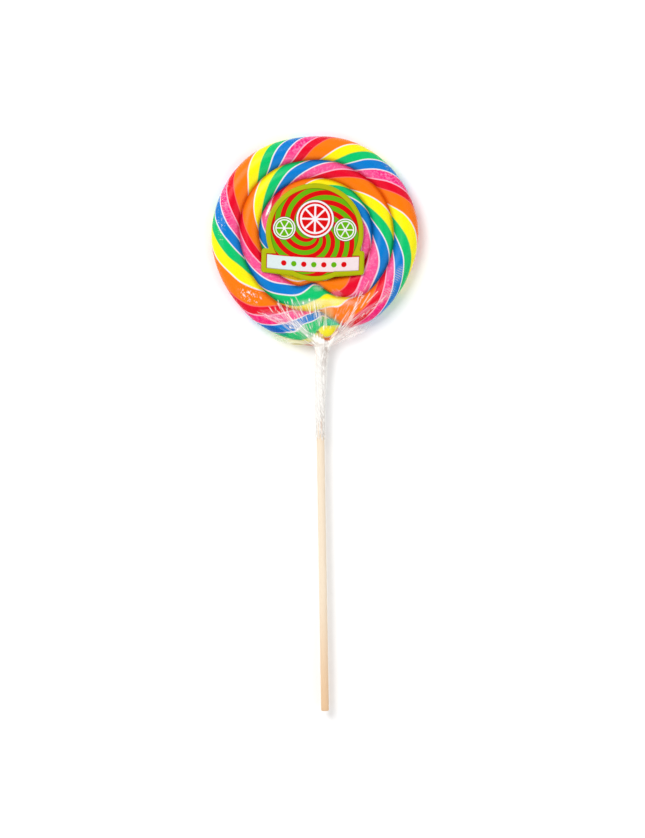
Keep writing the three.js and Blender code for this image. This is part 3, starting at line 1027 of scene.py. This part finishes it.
def film_skin(name, face):
    """One side of the film over the coil, from the neck's ring to the coil's rim."""
    rng = np.random.default_rng(11 if face > 0 else 12)
    u = np.linspace(-1, 1, FILM_COLUMNS)[None, :]
    share = np.sin(np.linspace(0, math.pi / 2, FILM_ROWS))[:, None]
    angle = math.pi * (1 - u) / 2
    fold = 1 + pleated(face * angle)
    ring_x = NECK[0] + NECK_WIDE * fold * np.cos(angle)
    ring_z = STICK_Z + face * NECK_HIGH * fold * np.sin(angle)
    rim = lerp(*FILM_SIDES, (u + 1) / 2)
    rim_x, rim_y = on_plane(rim, outer_side(rim) + FILM_GAP)
    x = lerp(ring_x, rim_x, share)
    bulge = np.where(u < 0, *FILM_BULGE) * u**6
    y = lerp(NECK[1], rim_y, share) - bulge * np.sin(math.pi * share**1.5)
    distance = np.hypot(x - ring_x, y - NECK[1])
    spread = np.hypot(np.gradient(x, axis=1), np.gradient(y, axis=1)) * (FILM_COLUMNS - 1) / 2

    # From the neck the film runs straight to where it first touches the coil.
    height, inside = wrapped_height(x, y, face)
    height = height + face * FILM_GAP
    rise = face * (height - ring_z) / np.maximum(distance, 1)
    rise = np.where(inside & (distance > 1), rise, -9)
    slope = rise.max(0)[None, :]
    reach = np.take_along_axis(distance, rise.argmax(0)[None, :], 0)
    z = np.where(distance < reach, ring_z + face * slope * distance, height)

    crease = np.maximum(creases(rng, u, distance, spread), folds(x, y, FOLDS + scratches(rng)))
    ripple = crumple(rng, FILM_ROWS, FILM_COLUMNS, 9) * RIPPLE_DEPTH
    relief = CREASE_DEPTH * crease + np.maximum(ripple, 0)
    settled = smooth(share, 0, 0.03) * (1 - smooth(share, 0.94, 1))
    pleats = np.cos(PLEATS * angle) * PLEAT_DEPTH * np.exp(-distance / PLEAT_FADE) * np.sin(angle)
    z = z + face * (settled * relief + smooth(share, 0, 0.05) * pleats)
    clear_of_candy = np.maximum(z, height) if face > 0 else np.minimum(z, height)
    z = np.where(inside, clear_of_candy, z)

    strength = (1 if face > 0 else BACK_WHITE) * (1 - patches(x, y, CLEAR))
    gather = GATHER_WHITE * np.exp(-distance / GATHER_FADE)
    white = clamp(np.maximum(crease, patches(x, y, GLINTS)) + gather) * strength
    cloud = 0.8 + 0.3 * crumple(rng, FILM_ROWS, FILM_COLUMNS, 5)
    layers = {
        "film": (white, patches(x, y, HAZE) * cloud * strength),
        "marks": (patches(x, y, SPECKS), patches(x, y, COMBS)),
        "rays": (FAN_BEARING * u + 0 * x, distance),
    }
    points = np.stack([x, y, z], -1).reshape(-1, 3)
    faces = grid_faces(FILM_ROWS, FILM_COLUMNS, flip=face < 0)
    piece = mesh_object(name, points, faces, film_uvs(faces, layers))
    add_painted_tints(piece, x, y, REFLECTION_AND_SHADE_TINTS if face > 0 else [])
    return piece


def film_uvs(faces, layers):
    """UV layers from pairs of values on a film's grid."""
    corners = np.array(faces).ravel()
    return {
        name: np.stack(pair, -1).reshape(-1, 2)[corners] for name, pair in layers.items()
    }


def film_sleeve():
    """The gathered end of the film, which hugs the stick in twisted folds."""
    rng = np.random.default_rng(21)
    rows, sides = SLEEVE_ROWS, SLEEVE_SIDES
    down = np.linspace(0, 1, rows)
    table = np.array(SLEEVE)
    y = lerp(SLEEVE[0][0], SLEEVE[-1][0], down)
    mid, wide, high = (np.interp(-y, -table[:, 0], table[:, k])[:, None] for k in (1, 2, 3))
    angle = (2 * math.pi * np.arange(sides) / sides)[None, :]

    # The neck's pleats give way to finer twisted ones, crumpled along their slant.
    twist = angle + SLEEVE_TWIST * down[:, None]
    twisted = 0.03 * np.cos(PLEATS * twist) + 0.02 * np.cos(14 * twist - 2)
    keeps = 1 - smooth(down, 0, 0.06)[:, None]
    pleats = lerp(twisted, pleated(angle), keeps)
    rough = crumple(rng, rows, sides, 4, wrap=True) * 0.06
    for row in range(rows):
        rough[row] = np.roll(rough[row], -SLEEVE_SLANT * row)
    rough = rough + crumple(rng, rows, sides, 2, wrap=True) * 0.02
    stands = 1 + pleats + rough * (1 - keeps)
    least = STICK_RADIUS + 0.06
    x = np.cos(angle) * np.maximum(wide * stands, least)
    z = np.sin(angle) * np.maximum(high * stands, least)
    frayed = 1.3 * np.sin(PLEATS * angle) + 0.8 * np.sin(4 * angle + 1)
    y = y[:, None] + frayed * smooth(down, 0.9, 1)[:, None]

    white = 0.55 * (1 - 0.45 * smooth(down, 0.55, 1))[:, None]
    white = white + 4.0 * np.maximum(pleats + rough, 0)
    points = np.stack([mid + x, y, STICK_Z + z], -1).reshape(-1, 3)
    faces = grid_faces(rows, sides, wrap=True, flip=True)
    layers = {
        "film": (clamp(white), np.full_like(white, 0.9)),
        "marks": (0 * white, 0 * white),
        "rays": (np.degrees(angle) * 0.15 + 0 * white, -y - 57),
    }
    piece = mesh_object("film_sleeve", points, faces, film_uvs(faces, layers))
    add_painted_tints(piece, mid + x, y, SLEEVE_PAINTED_TINTS)
    piece.data.materials.append(
        film_material("gathered_film", veil=0.32, rough=0.22, tint=GATHERED_TINT, shaded=0.9)
    )
    return piece


def label_outline():
    """Points all round the label's edge, arc by arc."""
    left, right = LABEL_BAND["left"], LABEL_BAND["right"]
    bottom, top = LABEL_BAND["bottom"], LABEL_BAND["top"]
    high = math.asin(top / LABEL_RADIUS)
    low = math.asin((bottom - LABEL_SINK) / LABEL_RADIUS)
    c = LABEL_CORNER
    arcs = [
        (0, 0, LABEL_RADIUS, high, math.pi - high),
        (left + c, top - c, c, math.pi / 2, math.pi),
        (left + c, bottom + c, c, math.pi, 1.5 * math.pi),
        (0, 0, LABEL_RADIUS, math.pi - low, 2 * math.pi + low),
        (right - c, bottom + c, c, -math.pi / 2, 0),
        (right - c, top - c, c, 0, math.pi / 2),
    ]
    points = []
    for x, y, radius, start, end in arcs:
        count = max(4, int(radius * (end - start) / LABEL_STEP))
        for a in np.linspace(start, end, count + 1):
            points.append((x + radius * math.cos(a), y + radius * math.sin(a)))
    return points


def label_lift(x, y):
    """How far the paper stands off at a point: it dips between the coil's crests."""
    ends = 0.35 * smooth(abs(x), 18, 27)
    return 0.07 * (1 + math.sin(0.28 * x + 0.9) * math.cos(0.25 * y)) + ends


def label_paper():
    """The die-cut paper label, one thin plate with a print on top."""
    outline = label_outline()
    inner = []
    for x in np.arange(-27, 27, LABEL_GRID):
        for y in np.arange(-25, 25, LABEL_GRID):
            in_disc = math.hypot(x, y) < LABEL_RADIUS - LABEL_MARGIN
            in_band = (
                LABEL_BAND["left"] + LABEL_MARGIN < x < LABEL_BAND["right"] - LABEL_MARGIN
                and LABEL_BAND["bottom"] + LABEL_MARGIN < y < LABEL_BAND["top"] - LABEL_MARGIN
            )
            if in_disc or in_band:
                inner.append((x, y))
    edges = [(i, (i + 1) % len(outline)) for i in range(len(outline))]
    flat = [Vector(p) for p in outline + inner]
    flat, _, triangles, *_ = delaunay_2d_cdt(flat, edges, [], 1, 1e-5)
    count = len(flat)
    turn = math.radians(LABEL_TURN)
    points = []
    for z in (LABEL_Z, LABEL_Z + LABEL_THICK):
        for x, y in flat:
            points.append((
                x * math.cos(turn) - y * math.sin(turn),
                x * math.sin(turn) + y * math.cos(turn),
                z + float(label_lift(x, y)),
            ))
    faces = [tuple(t[::-1]) for t in triangles]
    faces += [tuple(i + count for i in t) for t in triangles]
    sides = dict.fromkeys(side for t in triangles for side in zip(t, t[1:] + t[:1]))
    faces += [(a, b, b + count, a + count) for a, b in sides if (b, a) not in sides]
    uv = [tuple(flat[i % count]) for face in faces for i in face]
    piece = mesh_object("label_paper", points, faces, {"print": uv})
    piece.data.materials.append(label_material())
    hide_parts("label")
    return piece


def finish_piece(piece):
    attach(piece, "root")


# ---------- stage ----------

def floor():
    corners = ((-1, -1), (1, -1), (1, 1), (-1, 1))
    points = [(x * FLOOR_HALF, y * FLOOR_HALF, FLOOR_Z) for x, y in corners]
    plane = mesh_object("floor", points, [(0, 1, 2, 3)])
    plane.data.materials.append(floor_material())


def lights():
    world = bpy.data.worlds.new("studio")
    world.use_nodes = True
    tree = world.node_tree
    background = tree.nodes["Background"]
    background.inputs[0].default_value = (1, 1, 1, 1)
    direction = tree.nodes.new("ShaderNodeTexCoord")
    split = tree.nodes.new("ShaderNodeSeparateXYZ")
    zenith = tree.nodes.new("ShaderNodeMapRange")
    zenith.interpolation_type = "SMOOTHSTEP"
    for key, value in DOME.items():
        zenith.inputs[key].default_value = value
    tree.links.new(direction.outputs["Generated"], split.inputs[0])
    tree.links.new(split.outputs[2], zenith.inputs["Value"])
    tree.links.new(zenith.outputs[0], background.inputs[1])
    bpy.context.scene.world = world
    for name, place, size, power in LAMPS:
        light = bpy.data.lights.new(name, "AREA")
        light.size = size
        light.energy = power
        lamp = bpy.data.objects.new(name, light)
        lamp.location = place
        aim = np.array(LAMP_TARGET) - np.array(place)
        tilt = math.acos(-aim[2] / np.linalg.norm(aim))
        lamp.rotation_euler = (tilt, 0, math.atan2(aim[1], aim[0]) - math.pi / 2)
        bpy.context.scene.collection.objects.link(lamp)


def camera():
    lens = bpy.data.cameras.new("camera")
    lens.sensor_width = SENSOR
    lens.lens = SENSOR * CAMERA_DISTANCE / VIEW_HEIGHT
    lens.clip_end = 100
    eye = bpy.data.objects.new("camera", lens)
    eye.location = (VIEW_CENTRE[0] * MM, VIEW_CENTRE[1] * MM, (CAMERA_DISTANCE + STICK_Z) * MM)
    eye.rotation_euler = (0, 0, -math.radians(VIEW_LEAN))
    bpy.context.scene.collection.objects.link(eye)
    bpy.context.scene.camera = eye
    bpy.context.scene.view_settings.view_transform = "Standard"


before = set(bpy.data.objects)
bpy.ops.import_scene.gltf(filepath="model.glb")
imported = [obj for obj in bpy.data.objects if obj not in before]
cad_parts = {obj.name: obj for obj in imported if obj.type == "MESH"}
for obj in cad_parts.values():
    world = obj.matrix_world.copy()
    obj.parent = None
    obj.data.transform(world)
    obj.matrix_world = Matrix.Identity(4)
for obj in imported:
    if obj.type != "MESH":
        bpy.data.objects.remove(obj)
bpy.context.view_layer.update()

camera()
lights()
floor()
finish_piece(candy_rope())
finish_piece(stick_dowel())
finish_piece(label_paper())

skin = film_material("clear_film", veil=0.002, rough=0.16, tint=CLEAR_TINT, shaded=0)
for name, face in (("film_front", 1), ("film_back", -1)):
    side = film_skin(name, face)
    side.data.materials.append(skin)
    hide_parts("film")
    finish_piece(side)
sleeve = film_sleeve()
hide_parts("film")
finish_piece(sleeve)
